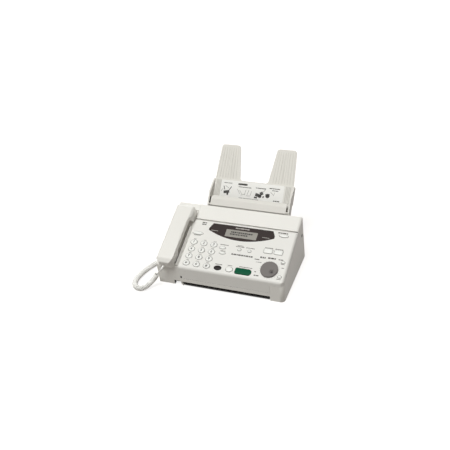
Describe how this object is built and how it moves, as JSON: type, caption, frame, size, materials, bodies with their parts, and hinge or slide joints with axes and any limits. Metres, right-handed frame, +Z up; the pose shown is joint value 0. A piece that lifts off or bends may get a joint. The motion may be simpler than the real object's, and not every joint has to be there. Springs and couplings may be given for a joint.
{
  "type": "fax machine",
  "caption": "Desktop fax machine: sloping control panel with keypad, display, dial and keys, corded handset on a side cradle, rear sheet tray with two support arms, plain front paper exit.",
  "frame": {"origin": "middle of the bounding box, on the desk, the handset cord left out", "axes": "+X to the user's right along the front, +Y from the user towards the tray, +Z up"},
  "size_m": [0.4313, 0.3883, 0.2572],
  "materials": {
    "casing": "fine satin grain",
    "handset_plastic": "smooth satin",
    "tray_plastic": "satin",
    "support_plastic": "satin, fine grooves",
    "white_keys": "semi-gloss",
    "green_key": "semi-gloss",
    "dark_key": "semi-gloss",
    "dial_plastic": "semi-gloss",
    "lens": "gloss",
    "display": "satin",
    "board": "solder mask",
    "black_plastic": "satin",
    "pin_steel": "blackened",
    "frame_steel": "zinc plated",
    "head_alloy": "milled",
    "roller_rubber": "matt",
    "film": "gloss",
    "feet_rubber": "matt",
    "capsule_black": "matt",
    "hook_plastic": "satin",
    "cord_plastic": "satin"
  },
  "bodies": {
    "base": {"lower_case": "casing", "handset_cradle": "casing", "rubber_feet": "feet_rubber", "exit_guide": "black_plastic", "roller_frame": "frame_steel", "hinge_pins": "pin_steel", "main_board": "board", "power_board": "board", "socket_block": "black_plastic", "speaker": "capsule_black", "thermal_head": "head_alloy", "image_sensor": "black_plastic", "drive_motor": "frame_steel", "case_screws": "pin_steel", "cord_coil": "cord_plastic", "cord_leads": "cord_plastic", "cord_plug": "cord_plastic"},
    "platen": {"platen_roller": "roller_rubber"},
    "feeder": {"document_roller": "roller_rubber"},
    "pickup": {"pickup_roller": "roller_rubber"},
    "supply": {"film_supply": "film"},
    "takeup": {"film_takeup": "film"},
    "panel": {"control_panel": "casing", "display_lens": "lens", "display_module": "display", "panel_board": "board"},
    "dial": {"jog_dial": "dial_plastic"},
    "cover": {"top_cover": "casing"},
    "tray": {"paper_tray": "tray_plastic"},
    "tension": {"tension_plate": "tray_plastic"},
    "support": {"paper_support": "support_plastic"},
    "handset": {"handset_shell": "handset_plastic", "handset_face": "handset_plastic", "capsules": "capsule_black"},
    "hook": {"hook_plunger": "hook_plastic"},
    "key_1_cap": {"key_1": "white_keys"},
    "key_2_cap": {"key_2": "white_keys"},
    "key_3_cap": {"key_3": "white_keys"},
    "key_4_cap": {"key_4": "white_keys"},
    "key_5_cap": {"key_5": "white_keys"},
    "key_6_cap": {"key_6": "white_keys"},
    "key_7_cap": {"key_7": "white_keys"},
    "key_8_cap": {"key_8": "white_keys"},
    "key_9_cap": {"key_9": "white_keys"},
    "key_star_cap": {"key_star": "white_keys"},
    "key_0_cap": {"key_0": "white_keys"},
    "key_hash_cap": {"key_hash": "white_keys"},
    "monitor_key_cap": {"monitor_key": "dark_key"},
    "stop_key_cap": {"stop_key": "white_keys"},
    "start_key_cap": {"start_key": "green_key"},
    "redial_key_cap": {"redial_key": "white_keys"},
    "flash_key_cap": {"flash_key": "white_keys"},
    "mode_key_cap": {"mode_key": "white_keys"},
    "help_key_cap": {"help_key": "white_keys"},
    "memory_key_left_cap": {"memory_key_left": "white_keys"},
    "memory_key_right_cap": {"memory_key_right": "white_keys"},
    "volume_up_key_cap": {"volume_up_key": "white_keys"},
    "volume_down_key_cap": {"volume_down_key": "white_keys"},
    "menu_key_cap": {"menu_key": "white_keys"},
    "directory_key_cap": {"directory_key": "white_keys"}
  },
  "joints": [
    {"name": "panel_hinge", "type": "hinge", "parent": "base", "child": "panel", "pos_m": [0, -0.01458, 0.11258], "axis": [-1, 0, 0], "range_deg": [0, 50]},
    {"name": "cover_hinge", "type": "hinge", "parent": "base", "child": "cover", "pos_m": [0, 0.02172, 0.085], "axis": [-1, 0, 0], "range_deg": [0, 35]},
    {"name": "tray_lift", "type": "slide", "parent": "cover", "child": "tray", "axis": [0, 0.6691, 0.7431], "range_m": [0, 0.07]},
    {"name": "tension_swing", "type": "hinge", "parent": "tray", "child": "tension", "pos_m": [0.0215, 0.04006, 0.14092], "axis": [1, 0, 0], "range_deg": [0, 25]},
    {"name": "support_slide", "type": "slide", "parent": "tray", "child": "support", "axis": [0, 0.6691, 0.7431], "range_m": [-0.044, 0]},
    {"name": "handset_lift", "type": "slide", "parent": "base", "child": "handset", "axis": [0, -0.342, 0.9397], "range_m": [0, 0.12]},
    {"name": "hook_slide", "type": "slide", "parent": "base", "child": "hook", "axis": [0, -0.342, 0.9397], "range_m": [0, 0.003]},
    {"name": "dial_spin", "type": "hinge", "parent": "panel", "child": "dial", "pos_m": [0.1342, -0.12889, 0.07842], "axis": [0, -0.342, 0.9397], "continuous": true},
    {"name": "platen_spin", "type": "hinge", "parent": "base", "child": "platen", "pos_m": [0, -0.07228, 0.036], "axis": [1, 0, 0], "continuous": true},
    {"name": "feeder_spin", "type": "hinge", "parent": "base", "child": "feeder", "pos_m": [0, -0.04228, 0.078], "axis": [1, 0, 0], "continuous": true},
    {"name": "pickup_spin", "type": "hinge", "parent": "base", "child": "pickup", "pos_m": [0, -0.00828, 0.088], "axis": [1, 0, 0], "continuous": true},
    {"name": "supply_spin", "type": "hinge", "parent": "base", "child": "supply", "pos_m": [0, -0.01028, 0.046], "axis": [1, 0, 0], "continuous": true},
    {"name": "takeup_spin", "type": "hinge", "parent": "base", "child": "takeup", "pos_m": [0, -0.11028, 0.033], "axis": [1, 0, 0], "continuous": true},
    {"name": "key_1_press", "type": "slide", "parent": "panel", "child": "key_1_cap", "axis": [0, 0.342, -0.9397], "range_m": [0, 0.0012], "stiffness_N_per_m": 300},
    {"name": "key_2_press", "type": "slide", "parent": "panel", "child": "key_2_cap", "axis": [0, 0.342, -0.9397], "range_m": [0, 0.0012], "stiffness_N_per_m": 300},
    {"name": "key_3_press", "type": "slide", "parent": "panel", "child": "key_3_cap", "axis": [0, 0.342, -0.9397], "range_m": [0, 0.0012], "stiffness_N_per_m": 300},
    {"name": "key_4_press", "type": "slide", "parent": "panel", "child": "key_4_cap", "axis": [0, 0.342, -0.9397], "range_m": [0, 0.0012], "stiffness_N_per_m": 300},
    {"name": "key_5_press", "type": "slide", "parent": "panel", "child": "key_5_cap", "axis": [0, 0.342, -0.9397], "range_m": [0, 0.0012], "stiffness_N_per_m": 300},
    {"name": "key_6_press", "type": "slide", "parent": "panel", "child": "key_6_cap", "axis": [0, 0.342, -0.9397], "range_m": [0, 0.0012], "stiffness_N_per_m": 300},
    {"name": "key_7_press", "type": "slide", "parent": "panel", "child": "key_7_cap", "axis": [0, 0.342, -0.9397], "range_m": [0, 0.0012], "stiffness_N_per_m": 300},
    {"name": "key_8_press", "type": "slide", "parent": "panel", "child": "key_8_cap", "axis": [0, 0.342, -0.9397], "range_m": [0, 0.0012], "stiffness_N_per_m": 300},
    {"name": "key_9_press", "type": "slide", "parent": "panel", "child": "key_9_cap", "axis": [0, 0.342, -0.9397], "range_m": [0, 0.0012], "stiffness_N_per_m": 300},
    {"name": "key_star_press", "type": "slide", "parent": "panel", "child": "key_star_cap", "axis": [0, 0.342, -0.9397], "range_m": [0, 0.0012], "stiffness_N_per_m": 300},
    {"name": "key_0_press", "type": "slide", "parent": "panel", "child": "key_0_cap", "axis": [0, 0.342, -0.9397], "range_m": [0, 0.0012], "stiffness_N_per_m": 300},
    {"name": "key_hash_press", "type": "slide", "parent": "panel", "child": "key_hash_cap", "axis": [0, 0.342, -0.9397], "range_m": [0, 0.0012], "stiffness_N_per_m": 300},
    {"name": "monitor_key_press", "type": "slide", "parent": "panel", "child": "monitor_key_cap", "axis": [0, 0.342, -0.9397], "range_m": [0, 0.0012], "stiffness_N_per_m": 300},
    {"name": "stop_key_press", "type": "slide", "parent": "panel", "child": "stop_key_cap", "axis": [0, 0.342, -0.9397], "range_m": [0, 0.0012], "stiffness_N_per_m": 300},
    {"name": "start_key_press", "type": "slide", "parent": "panel", "child": "start_key_cap", "axis": [0, 0.342, -0.9397], "range_m": [0, 0.0012], "stiffness_N_per_m": 300},
    {"name": "redial_key_press", "type": "slide", "parent": "panel", "child": "redial_key_cap", "axis": [0, 0.342, -0.9397], "range_m": [0, 0.0012], "stiffness_N_per_m": 300},
    {"name": "flash_key_press", "type": "slide", "parent": "panel", "child": "flash_key_cap", "axis": [0, 0.342, -0.9397], "range_m": [0, 0.0012], "stiffness_N_per_m": 300},
    {"name": "mode_key_press", "type": "slide", "parent": "panel", "child": "mode_key_cap", "axis": [0, 0.342, -0.9397], "range_m": [0, 0.0012], "stiffness_N_per_m": 300},
    {"name": "help_key_press", "type": "slide", "parent": "panel", "child": "help_key_cap", "axis": [0, 0.342, -0.9397], "range_m": [0, 0.0012], "stiffness_N_per_m": 300},
    {"name": "memory_key_left_press", "type": "slide", "parent": "panel", "child": "memory_key_left_cap", "axis": [0, 0.342, -0.9397], "range_m": [0, 0.0012], "stiffness_N_per_m": 300},
    {"name": "memory_key_right_press", "type": "slide", "parent": "panel", "child": "memory_key_right_cap", "axis": [0, 0.342, -0.9397], "range_m": [0, 0.0012], "stiffness_N_per_m": 300},
    {"name": "volume_up_key_press", "type": "slide", "parent": "panel", "child": "volume_up_key_cap", "axis": [0, 0.342, -0.9397], "range_m": [0, 0.0012], "stiffness_N_per_m": 300},
    {"name": "volume_down_key_press", "type": "slide", "parent": "panel", "child": "volume_down_key_cap", "axis": [0, 0.342, -0.9397], "range_m": [0, 0.0012], "stiffness_N_per_m": 300},
    {"name": "menu_key_press", "type": "slide", "parent": "panel", "child": "menu_key_cap", "axis": [0, 0.342, -0.9397], "range_m": [0, 0.0012], "stiffness_N_per_m": 300},
    {"name": "directory_key_press", "type": "slide", "parent": "panel", "child": "directory_key_cap", "axis": [0, 0.342, -0.9397], "range_m": [0, 0.0012], "stiffness_N_per_m": 300}
  ],
  "couplings": [
    {"joint": "hook_slide", "follows": "handset_lift", "ratio": 0.025}
  ]
}
